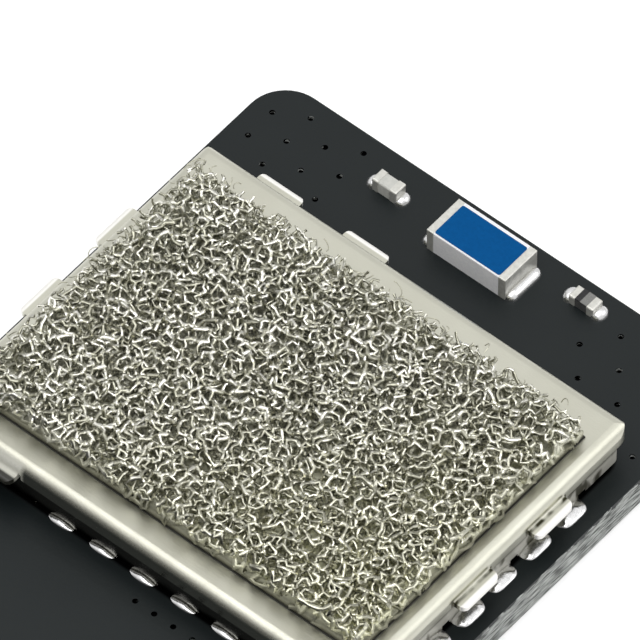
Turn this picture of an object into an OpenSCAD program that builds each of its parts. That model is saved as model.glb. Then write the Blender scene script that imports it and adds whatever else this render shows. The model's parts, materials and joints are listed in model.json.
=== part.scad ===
// Shielded wireless circuit module with an open-cell metal foam pad.
// Millimetres. +X runs along the antenna edge, +Y points to that edge, +Z is up.
// The origin is the middle of the board's underside.

/* [Circuit board] */
// Width of the board, along the antenna edge
board_w = 18.8; // [18:0.1:24]
// Length of the board, from the antenna edge to the front edge
board_l = 26; // [22:0.1:34]
// Thickness of the board
board_t = 1.2; // [0.8:0.1:2]
// Radius of the board's corners
board_corner_r = 1.4; // [0.4:0.1:2.4]
// Diameter of the dimple over a tented via
via_d = 0.2; // [0.16:0.02:0.4]
// Depth of the dimple over a tented via
via_depth = 0.12; // [0.05:0.01:0.3]

/* [Via fields] */
// Column spacing of the left via field
left_via_dx = 1.085; // [0.9:0.005:1.2]
// Row spacing of the left via field
left_via_dy = 1.19; // [0.9:0.01:1.2]
// First column of the left via field, from the board's left edge
left_via_x = 0.75; // [0.4:0.01:0.9]
// First row of the left via field, from the antenna edge
left_via_y = 0.68; // [0.4:0.01:0.9]
// Column spacing of the right via field
right_via_dx = 0.8; // [0.6:0.01:0.9]
// Row spacing of the right via field
right_via_dy = 1.06; // [0.8:0.01:1.2]
// Last column of the right via field, from the board's right edge
right_via_x = 2.4; // [1.6:0.1:2.6]
// Corner via, from the board's right edge
corner_via_x = 0.75; // [0.5:0.05:1]
// Corner via, from the antenna edge
corner_via_y = 4.45; // [4:0.05:5]
// Spacing of the via row in front of the shield
front_via_dx = 0.77; // [0.5:0.01:1]
// Number of vias in the row in front of the shield
front_via_count = 4; // [2:1:6]
// Distance of that row from the shield's front wall
front_via_gap = 0.65; // [0.55:0.05:1.5]
// Middle of that row, to the right of the board's middle
front_via_x = 1.57; // [0:0.01:3]

/* [Shield can] */
// Gap between the lid's side walls and the board's side edges
shield_side_gap = 0.8; // [0.75:0.05:1.2]
// Distance from the antenna edge to the lid's back wall
shield_back_gap = 4.48; // [4.2:0.02:6]
// Length of the lid, from its back wall to its front wall
shield_l = 13.5; // [13.3:0.05:15]
// Height of the lid's top above the board
shield_h = 1.8; // [1.7:0.05:3]
// Thickness of the lid's sheet
lid_t = 0.2; // [0.15:0.01:0.25]
// Outer radius of the bend between the lid's top and its walls
lid_bend_r = 0.38; // [0.3:0.01:0.45]
// Radius of the lid's upright corners
lid_corner_r = 0.5; // [0.3:0.01:0.6]
// Height of the lid's skirt, from its lower edge to the lid's top
skirt_h = 0.7; // [0.7:0.05:1.2]
// Thickness of the frame's sheet
frame_t = 0.2; // [0.15:0.01:0.25]
// Clearance between the lid's skirt and the frame's wall
frame_fit = 0.03; // [0.02:0.01:0.06]
// Width of the frame's inward rim under the lid
frame_rim_w = 0.7; // [0.4:0.05:0.9]
// Height of the vents along the foot of the frame
foot_vent_h = 0.12; // [0.06:0.01:0.2]

/* [Lid tabs] */
// Length of a tab along its wall
tab_l = 1.74; // [1.2:0.02:1.8]
// Reach of a tab beyond the lid's wall
tab_reach = 0.47; // [0.4:0.01:0.65]
// Radius of the valley between the lid's wall and a tab
tab_valley_r = 0.1; // [0.03:0.01:0.12]
// Radius of a tab's rounded lip
tab_lip_r = 0.14; // [0.08:0.01:0.15]
// Radius of a tab's outer corners
tab_corner_r = 0.26; // [0.1:0.01:0.35]
// Slit beside a tab
tab_slit = 0.1; // [0.05:0.01:0.2]
// First back tab, from the lid's left wall to the tab's middle
back_tab_x = 2.78; // [2:0.02:3.4]
// Spacing of the back tabs
back_tab_dx = 3.5; // [3:0.02:5]
// First side tab, from the lid's back wall to the tab's middle
side_tab_y = 4.15; // [2:0.05:5]
// Spacing of the side tabs
side_tab_dy = 3.6; // [3:0.05:5]
// Front tab, from the lid's left wall to the tab's middle
front_tab_x = 2.85; // [2:0.05:3.4]
// Length of the recess in the lid's back wall
recess_l = 2.5; // [1:0.1:4]
// Depth of that recess
recess_depth = 0.1; // [0.04:0.01:0.12]
// Middle of that recess, from the lid's left wall
recess_x = 12.35; // [10:0.05:13]

/* [Shield solder] */
// Spacing of the solder joints along the shield's foot
joint_pitch = 1.65; // [1.5:0.05:1.8]
// Length of a joint along a side wall
side_joint_l = 1.3; // [0.8:0.05:1.4]
// Reach of a joint beyond a side wall
side_joint_reach = 0.58; // [0.4:0.01:0.65]
// Height that the solder climbs up a side wall
side_joint_climb = 0.22; // [0.15:0.01:0.5]
// Shift of the joints along the side walls, towards the front
side_joint_shift = 0.3; // [0:0.05:0.6]
// Length of a joint along the front or back wall
end_joint_l = 1.1; // [0.8:0.05:1.4]
// Reach of a joint beyond the front or back wall
end_joint_reach = 0.26; // [0.2:0.01:0.5]
// Height that the solder climbs up the front or back wall
end_joint_climb = 0.17; // [0.15:0.01:0.4]
// Number of joints along each side wall
side_joint_count = 6; // [3:1:6]
// Number of joints along the front and back walls
end_joint_count = 5; // [3:1:7]
// Thickness of the solder at the rim of a joint
solder_toe = 0.06; // [0.02:0.01:0.1]
// Radius of a joint's corners on the board
joint_corner_r = 0.22; // [0.1:0.01:0.35]

/* [Foam pad] */
// Width of the foam pad
foam_w = 15.8; // [12:0.1:16]
// Length of the foam pad
foam_l = 11; // [9:0.1:11.4]
// Thickness of the foam pad
foam_t = 1; // [0.8:0.05:2]
// Distance from the lid's back wall to the foam's back edge
foam_back_gap = 1.38; // [0.6:0.02:1.6]
// Size of one open cell
foam_cell = 0.85; // [0.8:0.05:1.4]
// Width of the webs between the cells
foam_web = 0.17; // [0.1:0.01:0.24]
// Height of the closed layer under the cells
foam_floor = 0.22; // [0.1:0.01:0.5]
// Height of the low corners along the pad's sides, as a share of the cells' depth
foam_dip = 0.35; // [0.2:0.05:0.6]
// Unevenness of the cells, as a share of their size
foam_jitter = 0.15; // [0:0.01:0.2]
// Thickness of the adhesive film under the foam
adhesive_t = 0.05; // [0.03:0.01:0.15]

/* [Chip antenna] */
// Length of the antenna
antenna_l = 3.2; // [2.6:0.1:4]
// Width of the antenna
antenna_w = 1.6; // [1.2:0.05:2]
// Height of the antenna
antenna_h = 0.95; // [0.6:0.05:1.4]
// Antenna's middle, to the right of the board's middle
antenna_x = 0.1; // [0:0.02:0.3]
// Distance from the antenna edge to the antenna
antenna_edge_gap = 0.68; // [0.5:0.02:1]
// Length of each metal end
antenna_end = 0.28; // [0.2:0.01:0.5]
// Radius of the antenna's upper edges
antenna_edge_r = 0.04; // [0.02:0.01:0.05]
// Border of the printed field along the antenna's front edge
print_front_border = 0.06; // [0.05:0.01:0.2]
// Border of the printed field along the antenna's back edge
print_back_border = 0.14; // [0.05:0.01:0.25]
// Thickness of the printed field
print_t = 0.02; // [0.01:0.005:0.05]
// Corner radius of the printed field
print_r = 0.07; // [0.03:0.01:0.25]
// Reach of the solder beyond each end
antenna_solder_reach = 0.3; // [0.2:0.01:0.5]
// Height that the solder climbs up each end
antenna_solder_climb = 0.34; // [0.2:0.01:0.55]

/* [Small chip parts] */
// Length of a small chip part
chip_l = 1; // [0.8:0.05:1.3]
// Width of a small chip part
chip_w = 0.5; // [0.4:0.02:0.7]
// Height of the capacitor
capacitor_h = 0.5; // [0.3:0.02:0.6]
// Height of the resistor's ceramic
resistor_h = 0.36; // [0.25:0.01:0.45]
// Thickness of the resistor's dark coat
resistor_coat_t = 0.03; // [0.02:0.01:0.05]
// Length of a small chip part's metal ends
chip_end = 0.26; // [0.15:0.01:0.32]
// Thickness by which a metal end stands proud of the body
chip_end_proud = 0.02; // [0.01:0.005:0.04]
// Radius of a small chip part's outer edges
chip_edge_r = 0.07; // [0.03:0.01:0.1]
// Reach of the solder beyond a small chip part
chip_solder_reach = 0.24; // [0.15:0.01:0.35]
// Height that the solder climbs up a small chip part
chip_solder_climb = 0.24; // [0.15:0.01:0.3]
// Capacitor's middle, from the board's left edge
capacitor_x = 5.57; // [5.4:0.01:5.8]
// Capacitor's middle, from the antenna edge
capacitor_y = 1.32; // [0.8:0.01:2]
// Resistor's middle, from the board's right edge
resistor_x = 5.64; // [5.4:0.01:5.7]
// Resistor's middle, from the antenna edge
resistor_y = 0.81; // [0.7:0.01:1.6]

/* [Inside the can] */
// Side of the radio chip's package
radio_w = 7; // [6:0.1:7.2]
// Height of the radio chip's package
radio_h = 0.85; // [0.6:0.05:1]
// Radio chip's middle, to the left of the can's middle
radio_x = 1.4; // [1:0.1:1.6]
// Diameter of the moulded pin mark on the radio chip
pin_mark_d = 0.6; // [0.3:0.05:1]
// Depth of the pin mark
pin_mark_depth = 0.05; // [0.03:0.01:0.1]
// Middle of the pin mark, from the package's edges
pin_mark_gap = 0.8; // [0.6:0.05:1.5]
// Gap between neighbouring pieces inside the can
inner_gap = 0.5; // [0.4:0.05:0.55]
// Size of the front-end chip's package
front_end_w = 3; // [2:0.1:3.4]
// Height of the front-end chip's package
front_end_h = 0.55; // [0.4:0.05:0.9]
// Length of the memory chip's package
flash_l = 4; // [3:0.1:4.2]
// Width of the memory chip's package
flash_w = 3; // [2:0.1:3.2]
// Height of the memory chip's package
flash_h = 0.6; // [0.4:0.05:0.9]
// Length of the crystal's case
crystal_l = 2.5; // [1.6:0.1:2.6]
// Width of the crystal's case
crystal_w = 2; // [1.2:0.1:2.1]
// Height of the crystal's case
crystal_h = 0.55; // [0.4:0.05:0.8]
// Length of the supply's inductor
inductor_l = 2.5; // [1.6:0.1:2.6]
// Width of the supply's inductor
inductor_w = 2; // [1.2:0.1:2.1]
// Height of the supply's inductor
inductor_h = 1; // [0.8:0.05:1.2]
// Number of capacitors in the row in front of the radio chip
inner_row_count = 8; // [4:1:8]
// Spacing of those capacitors
inner_row_dx = 1.6; // [1.4:0.05:1.7]

/* [Underside lands] */
// Spacing of the lands along the board's edges
land_pitch = 1.5; // [1.2:0.05:2]
// Length of a land, square to its edge
land_l = 1.5; // [1:0.05:1.8]
// Width of a land, along its edge
land_w = 0.8; // [0.5:0.05:0.9]
// Gap between the lands and the board's edge
land_edge_gap = 0.4; // [0.2:0.05:0.8]
// Thickness of the lands
land_t = 0.05; // [0.03:0.01:0.1]
// Depth of the lands below the solder mask around them
land_recess = 0.02; // [0.01:0.01:0.05]
// Side of a heat land in the middle
heat_land_w = 2.2; // [1.5:0.1:2.4]
// Spacing of the heat lands
heat_land_pitch = 2.7; // [2.6:0.1:3]

/* [Hidden] */
$fn = 48;
// Overrun that lets a cut pass clear of the face that it opens
cut = 0.5;

// Heights
top_z = board_t;
lid_top_z = top_z + shield_h;
lid_under_z = lid_top_z - lid_t;
skirt_z = lid_top_z - skirt_h;
foam_z = lid_top_z + adhesive_t;

// Shield in plan
shield_w = board_w - 2 * shield_side_gap;
shield_y = from_back(shield_back_gap + shield_l / 2);
frame_inset = lid_t + frame_fit;
tab_drop = lid_bend_r + tab_valley_r;
frame_w = shield_w - 2 * frame_inset;
frame_l = shield_l - 2 * frame_inset;
// The frame's upper bend and its corners keep clear of the inside of the lid's
frame_bend_r = lid_bend_r - lid_t + frame_fit;
frame_corner_r = lid_corner_r - frame_inset;
cavity_w = frame_w - 2 * frame_t;
cavity_l = frame_l - 2 * frame_t;

// Foam in plan
foam_y = from_back(shield_back_gap + foam_back_gap + foam_l / 2);

// Antenna in plan
antenna_y = from_back(antenna_edge_gap + antenna_w / 2);

// Places on the board, counted from its edges
function from_left(a) = a - board_w / 2;
function from_right(a) = board_w / 2 - a;
function from_back(b) = board_l / 2 - b;
// Place of item i in a centred row of count items
function in_row(i, count, pitch) = (i - (count - 1) / 2) * pitch;

// Flat shapes

module rounded_rect(w, l, r) {
    union() {
        square([w - 2 * r, l], center = true);
        square([w, l - 2 * r], center = true);
        for (sx = [-1, 1], sy = [-1, 1])
            translate([sx * (w / 2 - r), sy * (l / 2 - r)]) circle(r);
    }
}

// Upright section of a folded lid: square below, rounded at both upper corners
module bend_section(w, h, r) {
    union() {
        translate([-w / 2, 0]) square([w, h - r]);
        translate([-w / 2 + r, 0]) square([w - 2 * r, h]);
        for (s = [-1, 1])
            translate([s * (w / 2 - r), h - r]) circle(r);
    }
}

// Forms that several pieces share

module box(w, l, h) {
    translate([-w / 2, -l / 2, 0]) cube([w, l, h]);
}

// Block whose upper edges and upright corners have one radius
module soft_block(w, l, h, r) {
    folded_form(w, l, h, r, r);
}

// Bar along X whose two long upper edges are rounded
module soft_bar(l, w, h, r) {
    translate([-l / 2, 0, 0]) rotate([90, 0, 90]) linear_extrude(l) bend_section(w, h, r);
}

// Metal end of a chip part, facing +X from x = 0: rounded outside, square where it meets the body
module end_cap(l, w, h, r) {
    intersection() {
        soft_block(2 * l, w, h, r);
        translate([0, -w, 0]) cube([2 * l, 2 * w, 2 * h]);
    }
}

// Folded sheet form: upright corners of one radius, upper bends of another
module folded_form(w, l, h, bend_r, corner_r) {
    intersection() {
        linear_extrude(h) rounded_rect(w, l, corner_r);
        translate([0, l / 2, 0]) rotate([90, 0, 0]) linear_extrude(l) bend_section(w, h, bend_r);
        translate([-w / 2, 0, 0]) rotate([90, 0, 90]) linear_extrude(w) bend_section(l, h, bend_r);
    }
}

// Puts children, which face +Y, on one wall of a rectangle w by l
module on_back(w, l, x) {
    translate([x, l / 2, 0]) children();
}

module on_front(w, l, x) {
    translate([x, -l / 2, 0]) rotate(180) children();
}

module on_left(w, l, y) {
    translate([-w / 2, y, 0]) rotate(90) children();
}

module on_right(w, l, y) {
    translate([w / 2, y, 0]) rotate(-90) children();
}

// Puts children on every wall that has a lid tab
module at_lid_tabs() {
    for (i = [0, 1]) {
        on_back(shield_w, shield_l, back_tab_x + i * back_tab_dx - shield_w / 2) children();
        on_left(shield_w, shield_l, shield_l / 2 - side_tab_y - i * side_tab_dy) children();
        on_right(shield_w, shield_l, shield_l / 2 - side_tab_y - i * side_tab_dy) children();
    }
    on_front(shield_w, shield_l, front_tab_x - shield_w / 2) children();
}

// Puts children at every solder joint along the frame's side walls
module at_side_joints() {
    for (i = [0 : side_joint_count - 1]) {
        y = in_row(i, side_joint_count, joint_pitch) - side_joint_shift;
        on_left(frame_w, frame_l, y) children();
        on_right(frame_w, frame_l, y) children();
    }
}

// Puts children at every solder joint along the frame's front and back walls
module at_end_joints() {
    for (i = [0 : end_joint_count - 1]) {
        on_back(frame_w, frame_l, in_row(i, end_joint_count, joint_pitch)) children();
        on_front(frame_w, frame_l, in_row(i, end_joint_count, joint_pitch)) children();
    }
}

// Puts children at both ends of a chip part, facing outwards along +X
module at_chip_ends(l) {
    translate([l / 2, 0, 0]) children();
    rotate(180) translate([l / 2, 0, 0]) children();
}

// Puts children at every dimple over a tented via
via_columns = 4;
via_rows = 3;

module at_vias() {
    for (i = [0 : via_columns - 1], j = [0 : via_rows - 1])
        if (i % 2 == 1 || j < via_rows - 1)
            translate([from_left(left_via_x + i * left_via_dx),
                from_back(left_via_y + (j + (1 - i % 2) / 2) * left_via_dy)]) children();
    for (i = [0 : via_columns - 1], j = [0 : via_rows - 1])
        if ((i + j) % 2 == 1 && !(i == via_columns - 1 && j == 0))
            translate([from_right(right_via_x + (via_columns - 1 - i) * right_via_dx),
                from_back((j + 1) * right_via_dy)]) children();
    translate([from_right(corner_via_x), from_back(corner_via_y)]) children();
    for (i = [0 : front_via_count - 1])
        translate([front_via_x + in_row(i, front_via_count, front_via_dx),
            shield_y - shield_l / 2 - front_via_gap]) children();
}

// Lands of the underside: a row along each side and the front, and heat lands in the middle
land_side_count = floor((board_l - shield_back_gap - land_edge_gap - 2 * land_l) / land_pitch);
land_front_count = floor((board_w - 2 * land_edge_gap - 2 * land_l) / land_pitch) - 1;
land_inset = land_edge_gap + land_l / 2;

module land_plan() {
    for (i = [0 : land_side_count - 1], s = [-1, 1])
        translate([s * (board_w / 2 - land_inset), from_back(shield_back_gap + (i + 0.5) * land_pitch)])
            square([land_l, land_w], center = true);
    for (i = [0 : land_front_count - 1])
        translate([in_row(i, land_front_count, land_pitch), land_inset - board_l / 2])
            square([land_w, land_l], center = true);
    for (i = [-1 : 1], j = [-1 : 1])
        translate([i * heat_land_pitch, shield_y + j * heat_land_pitch])
            square(heat_land_w, center = true);
}

// Board and shield

module circuit_board() {
    color([0.13, 0.14, 0.15])
        difference() {
            linear_extrude(board_t) rounded_rect(board_w, board_l, board_corner_r);
            at_vias() translate([0, 0, top_z - via_depth]) cylinder(d = via_d, h = via_depth + cut);
            translate([0, 0, -cut]) linear_extrude(land_recess + land_t + cut) land_plan();
        }
}

module underside_lands() {
    color([0.85, 0.68, 0.3])
        translate([0, 0, land_recess]) linear_extrude(land_t) land_plan();
}

module shield_frame() {
    wall_h = lid_under_z - top_z;
    color([0.72, 0.71, 0.66])
        translate([0, shield_y, top_z])
            difference() {
                folded_form(frame_w, frame_l, wall_h, frame_bend_r, frame_corner_r);
                translate([0, 0, -cut]) box(cavity_w, cavity_l, wall_h - frame_t + cut);
                box(cavity_w - 2 * frame_rim_w, cavity_l - 2 * frame_rim_w, wall_h + cut);
                foot_vents();
            }
}

// Vents between the feet of the frame, cut through both opposite walls at once
module foot_vents() {
    for (i = [0 : side_joint_count])
        translate([0, in_row(i, side_joint_count + 1, joint_pitch) - side_joint_shift, -cut])
            box(frame_w + cut, joint_pitch - side_joint_l, foot_vent_h + cut);
    for (i = [0 : end_joint_count])
        translate([in_row(i, end_joint_count + 1, joint_pitch), 0, -cut])
            box(joint_pitch - end_joint_l, frame_l + cut, foot_vent_h + cut);
}

module shield_lid() {
    color([0.8, 0.79, 0.73])
        translate([0, shield_y, skirt_z])
            union() {
                difference() {
                    folded_form(shield_w, shield_l, skirt_h, lid_bend_r, lid_corner_r);
                    translate([0, 0, -cut])
                        folded_form(shield_w - 2 * lid_t, shield_l - 2 * lid_t, skirt_h - lid_t + cut,
                            lid_bend_r - lid_t, lid_corner_r - lid_t);
                    at_lid_tabs() tab_opening();
                    on_back(shield_w, shield_l, recess_x - shield_w / 2)
                        translate([0, 0, -cut]) box(recess_l, 2 * recess_depth, skirt_h + 2 * cut);
                }
                at_lid_tabs() lid_tab();
            }
}

// Room that a tab leaves in the skirt below and beside it
tab_under_z = skirt_h - tab_drop - lid_t;

module tab_opening() {
    through = 2 * (lid_t + cut);
    translate([0, 0, -cut]) box(tab_l, through, tab_under_z + cut);
    for (s = [-1, 1])
        translate([s * (tab_l + tab_slit) / 2, 0, -cut])
            box(tab_slit, through, skirt_h - tab_drop + cut);
}

// A finger of the skirt that is bent outwards, with a rounded lip
module lid_tab() {
    intersection() {
        translate([-tab_l / 2, 0, tab_under_z]) rotate([90, 0, 90]) linear_extrude(tab_l) tab_section();
        linear_extrude(skirt_h) rounded_rect(tab_l, 2 * tab_reach, tab_corner_r);
    }
}

// Upright section through a tab: its wall at x = 0, its underside at y = 0
module tab_section() {
    lip_x = tab_reach - tab_lip_r;
    union() {
        translate([-lid_t, 0]) square([lid_t + lip_x, lid_t]);
        intersection() {
            translate([lip_x, lid_t - tab_lip_r]) circle(tab_lip_r);
            square([tab_reach, lid_t]);
        }
        difference() {
            translate([-lid_t, 0]) square([lid_t + tab_valley_r, lid_t + tab_valley_r]);
            translate([tab_valley_r, lid_t + tab_valley_r]) circle(tab_valley_r);
        }
    }
}

module shield_solder() {
    color([0.9, 0.9, 0.9])
        translate([0, shield_y, top_z]) {
            at_side_joints() solder_joint(side_joint_l, side_joint_reach, side_joint_climb);
            at_end_joints() solder_joint(end_joint_l, end_joint_reach, end_joint_climb);
        }
}

// A solder joint is a low cushion in front of the frame's wall: it falls in an arc from the
// wall to its rim, and in a second arc to both of its ends
module solder_joint(l, reach, climb) {
    fall = climb - solder_toe;
    out_r = (reach * reach + fall * fall) / (2 * fall);
    along_r = (l * l / 4 + fall * fall) / (2 * fall);
    corner_r = min(joint_corner_r, 0.9 * reach);
    intersection() {
        linear_extrude(climb) rounded_rect(l, 2 * reach, corner_r);
        translate([-l, 0, -cut]) cube([2 * l, 2 * reach, climb + 2 * cut]);
        translate([-l, 0, climb - out_r]) rotate([0, 90, 0]) cylinder(r = out_r, h = 2 * l);
        translate([0, -cut, climb - along_r]) rotate([-90, 0, 0]) cylinder(r = along_r, h = 2 * cut + reach);
    }
}

// Foam pad

module foam_adhesive() {
    color([0.16, 0.15, 0.12])
        translate([0, foam_y, lid_top_z]) box(foam_w, foam_l, adhesive_t);
}

// The foam's upper side is a field of open cells. The cells are bricks in offset rows whose
// corners are moved to make uneven hexagons. Row j lies between corner lines j and j + 1.
cell_columns = round(foam_w / foam_cell);
cell_rows = round(foam_l / (foam_cell * sqrt(3) / 2));
line_length = 2 * cell_columns + 1;
corner_count = line_length * (cell_rows + 1);
cell_dx = foam_w / cell_columns;
cell_dy = foam_l / cell_rows;
foam_seed = 7;
noise = rands(-1, 1, 3 * corner_count, foam_seed);

function corner_id(k, j) = k + j * line_length;
function corner_noise(k, j, n) = noise[3 * corner_id(k, j) + n];
function on_x_edge(k) = k == 0 || k == line_length - 1;
function on_y_edge(j) = j == 0 || j == cell_rows;
// Corners alternate up and down along a line, which turns the bricks into hexagons
function zigzag(k, j) = on_y_edge(j) ? 0 : ((k + j) % 2 == 0 ? 1 : -1) * cell_dy / 6;
// On the pad's sides every second corner lies low, so that the outer cells are open
function corner_height(k, j) =
    on_x_edge(k) && j % 2 == 1 || on_y_edge(j) && k % 2 == 1
        ? foam_floor + (foam_t - foam_floor) * foam_dip
        : foam_t - (1 - corner_noise(k, j, 2)) / 2 * foam_t * foam_jitter;
function corner(k, j) = [
    k * cell_dx / 2 - foam_w / 2
        + (on_x_edge(k) ? 0 : corner_noise(k, j, 0) * foam_jitter * cell_dx),
    j * cell_dy - foam_l / 2
        + zigzag(k, j) + (on_y_edge(j) ? 0 : corner_noise(k, j, 1) * foam_jitter * cell_dy),
    corner_height(k, j)
];

corners = [for (j = [0 : cell_rows], k = [0 : line_length - 1]) corner(k, j)];
whole_cells = [for (j = [0 : cell_rows - 1], k = [j % 2 : 2 : line_length - 3])
    [corner_id(k, j), corner_id(k + 1, j), corner_id(k + 2, j),
     corner_id(k + 2, j + 1), corner_id(k + 1, j + 1), corner_id(k, j + 1)]];
half_cells = [for (j = [1 : 2 : cell_rows - 1], k = [0, line_length - 2])
    [corner_id(k, j), corner_id(k + 1, j), corner_id(k + 1, j + 1), corner_id(k, j + 1)]];

function mean(points) = [for (axis = [0 : 2])
    let (values = [for (p = points) p[axis]]) values * [for (v = values) 1] / len(points)];
// A ring of points inside a cell: moved in from its corners by a distance, at a height
function rim_ring(cell) = let (middle = mean([for (c = cell) corners[c]]))
    [for (c = cell) let (p = corners[c], inward = [middle.x - p.x, middle.y - p.y])
        [p.x + inward.x / norm(inward) * foam_web / 2,
         p.y + inward.y / norm(inward) * foam_web / 2,
         p.z - foam_web / 3]];
function floor_ring(cell) = let (middle = mean([for (c = cell) corners[c]]))
    [for (c = cell) let (p = corners[c])
        [(p.x + middle.x) / 2, (p.y + middle.y) / 2, foam_floor]];
// Faces of one cell whose two rings start at point number first
function cell_faces(cell, first) = let (n = len(cell)) concat(
    [for (m = [0 : n - 1]) let (m1 = (m + 1) % n) each [
        [cell[m], first + m, cell[m1]],
        [cell[m1], first + m, first + m1],
        [first + m, first + n + m, first + m1],
        [first + m1, first + n + m, first + n + m1]]],
    [[for (m = [0 : n - 1]) first + n + (n + 1 - m) % n]]);

// Corners along the pad's outline, in order
outline = concat(
    [for (k = [0 : line_length - 2]) corner_id(k, 0)],
    [for (j = [0 : cell_rows - 1]) corner_id(line_length - 1, j)],
    [for (k = [line_length - 1 : -1 : 1]) corner_id(k, cell_rows)],
    [for (j = [cell_rows : -1 : 1]) corner_id(0, j)]);

module metal_foam() {
    whole_first = corner_count;
    half_first = whole_first + 12 * len(whole_cells);
    base_first = half_first + 8 * len(half_cells);
    sides = len(outline);
    points = concat(
        corners,
        [for (cell = whole_cells) each concat(rim_ring(cell), floor_ring(cell))],
        [for (cell = half_cells) each concat(rim_ring(cell), floor_ring(cell))],
        [for (c = outline) [corners[c].x, corners[c].y, 0]],
        [[0, 0, 0]]);
    faces = concat(
        [for (i = [0 : len(whole_cells) - 1]) each cell_faces(whole_cells[i], whole_first + 12 * i)],
        [for (i = [0 : len(half_cells) - 1]) each cell_faces(half_cells[i], half_first + 8 * i)],
        [for (m = [0 : sides - 1]) let (m1 = (m + 1) % sides)
            [outline[m], outline[m1], base_first + m1, base_first + m]],
        [for (m = [0 : sides - 1])
            [base_first + m, base_first + (m + 1) % sides, base_first + sides]]);
    color([0.75, 0.74, 0.66])
        translate([0, foam_y, foam_z]) polyhedron(points, faces, convexity = 20);
}

// Chip antenna

module at_antenna() {
    translate([antenna_x, antenna_y, top_z]) children();
}

module antenna_body() {
    color([0.9, 0.9, 0.88])
        at_antenna() soft_bar(antenna_l - 2 * antenna_end, antenna_w, antenna_h, antenna_edge_r);
}

module antenna_print() {
    print_w = antenna_w - print_front_border - print_back_border;
    color([0.02, 0.3, 0.62])
        at_antenna() translate([0, (print_front_border - print_back_border) / 2, antenna_h])
            linear_extrude(print_t) rounded_rect(antenna_l - 2 * antenna_end, print_w, print_r);
}

module antenna_terminals() {
    color([0.8, 0.79, 0.74])
        at_antenna() at_chip_ends(antenna_l - 2 * antenna_end)
            end_cap(antenna_end, antenna_w, antenna_h, antenna_edge_r);
}

module antenna_solder() {
    color([0.9, 0.9, 0.9])
        at_antenna() chip_solder(antenna_l, antenna_w, antenna_solder_reach, antenna_solder_climb);
}

// Solder beads along the foot of both ends of a chip part: round bars with round ends, whose
// middle lies a little above the board and outside the metal end
module chip_solder(l, w, reach, climb) {
    r = min(reach, climb, w / 2) - solder_toe / 2;
    at_chip_ends(l)
        intersection() {
            translate([reach - r, 0, climb - r]) {
                translate([0, w / 2 - r, 0]) rotate([90, 0, 0]) cylinder(r = r, h = w - 2 * r);
                for (s = [-1, 1]) translate([0, s * (w / 2 - r), 0]) sphere(r);
            }
            translate([0, -w, 0]) cube([2 * reach, 2 * w, 2 * climb]);
        }
}

// Small chip parts

module at_capacitor() {
    translate([from_left(capacitor_x), from_back(capacitor_y), top_z]) children();
}

module at_resistor() {
    translate([from_right(resistor_x), from_back(resistor_y), top_z]) children();
}

// Metal ends of a small chip part, a little thicker than its body
module chip_terminals(h) {
    at_chip_ends(chip_l - 2 * chip_end)
        end_cap(chip_end, chip_w + 2 * chip_end_proud, h + chip_end_proud, chip_edge_r);
}

module capacitor_body() {
    color([0.8, 0.8, 0.76])
        at_capacitor() soft_bar(chip_l - 2 * chip_end, chip_w, capacitor_h, chip_edge_r);
}

module capacitor_terminals() {
    color([0.82, 0.82, 0.78]) at_capacitor() chip_terminals(capacitor_h);
}

module capacitor_solder() {
    color([0.9, 0.9, 0.9])
        at_capacitor() chip_solder(chip_l, chip_w, chip_solder_reach, chip_solder_climb);
}

module resistor_body() {
    color([0.88, 0.88, 0.85]) at_resistor() box(chip_l - 2 * chip_end, chip_w, resistor_h);
}

module resistor_coat() {
    color([0.06, 0.06, 0.07])
        at_resistor() translate([0, 0, resistor_h])
            box(chip_l - 2 * chip_end, chip_w, resistor_coat_t);
}

module resistor_terminals() {
    color([0.82, 0.82, 0.78]) at_resistor() chip_terminals(resistor_h);
}

module resistor_solder() {
    color([0.9, 0.9, 0.9])
        at_resistor() chip_solder(chip_l, chip_w, chip_solder_reach, chip_solder_climb);
}

// Pieces inside the can

module in_can(x, y) {
    translate([x, shield_y + y, top_z]) children();
}

// The columns beside the radio chip stand midway between it and the frame's walls
right_column_x = (cavity_w / 2 + radio_w / 2 - radio_x) / 2;
left_column_x = -(cavity_w / 2 + radio_w / 2 + radio_x) / 2;

module radio_chip() {
    mark = radio_w / 2 - pin_mark_gap;
    color([0.1, 0.1, 0.11])
        in_can(-radio_x, 0)
            difference() {
                box(radio_w, radio_w, radio_h);
                translate([-mark, mark, radio_h - pin_mark_depth])
                    cylinder(d = pin_mark_d, h = pin_mark_depth + cut);
            }
}

module gap_pad() {
    color([0.55, 0.65, 0.75])
        in_can(-radio_x, 0) translate([0, 0, radio_h])
            box(radio_w, radio_w, lid_under_z - top_z - radio_h);
}

module front_end_chip() {
    color([0.12, 0.12, 0.13])
        in_can(right_column_x, flash_w / 2 + inner_gap) translate([0, front_end_w / 2, 0])
            box(front_end_w, front_end_w, front_end_h);
}

module flash_chip() {
    color([0.14, 0.14, 0.15]) in_can(right_column_x, 0) box(flash_l, flash_w, flash_h);
}

module crystal() {
    color([0.85, 0.85, 0.82])
        in_can(left_column_x, inner_gap + crystal_l / 2) box(crystal_w, crystal_l, crystal_h);
}

module power_inductor() {
    color([0.3, 0.3, 0.31])
        in_can(left_column_x, -inner_gap - inductor_l / 2) box(inductor_w, inductor_l, inductor_h);
}

module inner_capacitors() {
    color([0.6, 0.5, 0.4])
        for (i = [0 : inner_row_count - 1])
            in_can(in_row(i, inner_row_count, inner_row_dx), -radio_w / 2 - inner_gap - chip_w / 2)
                box(chip_l, chip_w, capacitor_h);
}

circuit_board();
underside_lands();
shield_frame();
shield_lid();
shield_solder();
foam_adhesive();
metal_foam();
antenna_body();
antenna_print();
antenna_terminals();
antenna_solder();
capacitor_body();
capacitor_terminals();
capacitor_solder();
resistor_body();
resistor_coat();
resistor_terminals();
resistor_solder();
radio_chip();
gap_pad();
front_end_chip();
flash_chip();
crystal();
power_inductor();
inner_capacitors();
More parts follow.
